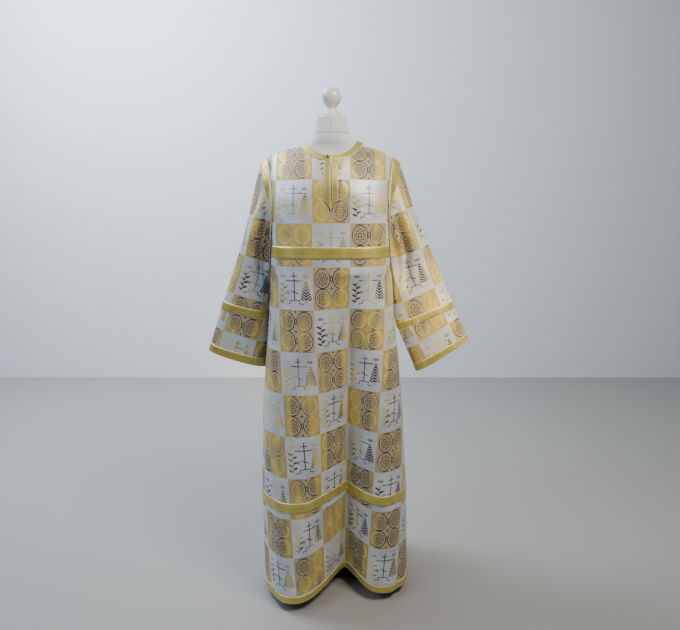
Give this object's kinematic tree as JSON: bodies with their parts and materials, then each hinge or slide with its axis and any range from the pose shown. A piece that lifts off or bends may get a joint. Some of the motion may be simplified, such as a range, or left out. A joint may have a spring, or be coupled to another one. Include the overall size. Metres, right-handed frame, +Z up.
{
  "type": "sticharion on dress form",
  "caption": "Long wide-sleeved liturgical robe of checked gold and white brocade with woven gold bands, on a limbless dress form with a steel stand.",
  "frame": {"origin": "on the floor, in the underside of the stand's base plate, on the axis of its pole", "axes": "+Z up along the pole, -Y out of the front of the robe, +X to the wearer's left"},
  "size_m": [0.8597, 0.4279, 1.6175],
  "materials": {
    "brocade": "satin brocade, white and gold checks",
    "band": "woven gold galloon",
    "gilt": "polished gilt",
    "jersey": "pale knitted cover",
    "lacquer": "gloss white lacquer",
    "black_steel": "satin black"
  },
  "bodies": {
    "root": {"front_panel": "brocade", "back_panel": "brocade", "sleeve_right": "brocade", "sleeve_left": "brocade", "front_knee_band": "band", "front_hem_band": "band", "back_knee_band": "band", "back_hem_band": "band", "chest_band": "band", "neck_band_right": "band", "neck_band_left": "band", "neck_band_back": "band", "placket_right": "band", "placket_left": "band", "armhole_band_right": "band", "upper_band_right": "band", "cuff_band_right": "band", "armhole_band_left": "band", "upper_band_left": "band", "cuff_band_left": "band", "button": "gilt", "form_torso": "jersey", "finial": "lacquer", "base": "black_steel", "socket": "black_steel", "pole": "black_steel"}
  },
  "joints": []
}
